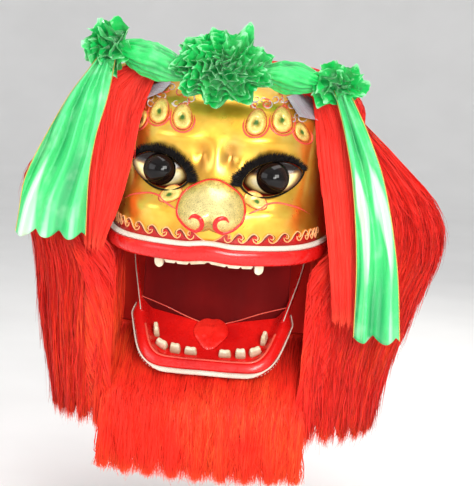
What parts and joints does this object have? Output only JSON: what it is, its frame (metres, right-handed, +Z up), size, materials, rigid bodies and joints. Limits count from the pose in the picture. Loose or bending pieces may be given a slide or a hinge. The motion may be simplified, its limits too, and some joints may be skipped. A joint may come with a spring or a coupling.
{
  "type": "lion dance head",
  "caption": "Red and gold lion dance head with hinged lower jaw, hanging ears, long fur mane and a tied green satin ribbon",
  "frame": {"origin": "Inside the crown of the shell, where the head rests on the crown of the dancer's own head", "axes": "+Z up, the face looks towards -Y, +X to the right as seen by a viewer who faces the lion"},
  "size_m": [0.8384, 0.5947, 0.8721],
  "materials": {
    "gold_lacquer": "gold lacquer over moulded paper, glossy, with red painted lines",
    "nose_gold": "pale gold lacquer with small dark dots and red lines",
    "red_lacquer": "glossy red lacquer over moulded paper",
    "piping": "cream cord piping",
    "teeth": "cream lacquer, satin",
    "mouth_cloth": "dark red cloth, matt, loosely gathered",
    "fur": "long red yarn fur in combed locks",
    "satin": "green satin ribbon with a soft shine",
    "brocade": "silver lilac brocade with a red figure",
    "braid": "yellow gold braid",
    "eye_cream": "glossy cream enamel",
    "eye_black": "glossy black enamel",
    "tongue_red": "bright red lacquer",
    "pin_steel": "plain steel"
  },
  "bodies": {
    "head": {"face_shell": "gold_lacquer", "nose": "nose_gold", "upper_lip": "red_lacquer", "lip_piping": "piping", "upper_incisors": "teeth", "mouth_lining": "mouth_cloth", "crown_fur": "fur", "throat_ruff": "fur", "ribbon_rosette": "satin", "ribbon_knot_left": "satin", "ribbon_puff_left": "satin", "ribbon_tail_left": "satin", "ribbon_knot_right": "satin", "ribbon_puff_right": "satin", "ribbon_tail_right": "satin", "mane_right": "fur", "mane_back": "fur", "mane_left": "fur", "eye_white_left": "eye_cream", "iris_left": "eye_black", "eyelid_left": "eye_black", "upper_fang_left": "teeth", "hinge_pin_left": "pin_steel", "ear_left": "fur", "ear_braid_left": "braid", "ear_lining_left": "brocade", "brow_drop_left_1": "gold_lacquer", "brow_drop_left_2": "gold_lacquer", "brow_drop_left_3": "gold_lacquer", "eye_white_right": "eye_cream", "iris_right": "eye_black", "eyelid_right": "eye_black", "upper_fang_right": "teeth", "hinge_pin_right": "pin_steel", "ear_right": "fur", "ear_braid_right": "braid", "ear_lining_right": "brocade", "brow_drop_right_1": "gold_lacquer", "brow_drop_right_2": "gold_lacquer", "brow_drop_right_3": "gold_lacquer"},
    "jaw": {"jaw_scoop": "red_lacquer", "jaw_piping": "piping", "tongue": "tongue_red", "lower_tooth_left_1": "teeth", "lower_tooth_left_2": "teeth", "lower_tooth_left_3": "teeth", "lower_tooth_left_4": "teeth", "lower_tooth_right_1": "teeth", "lower_tooth_right_2": "teeth", "lower_tooth_right_3": "teeth", "lower_tooth_right_4": "teeth"}
  },
  "joints": [
    {"name": "jaw_hinge", "type": "hinge", "parent": "head", "child": "jaw", "pos_m": [0, 0.06, -0.325], "axis": [-1, 0, 0], "range_deg": [0, 38]}
  ]
}
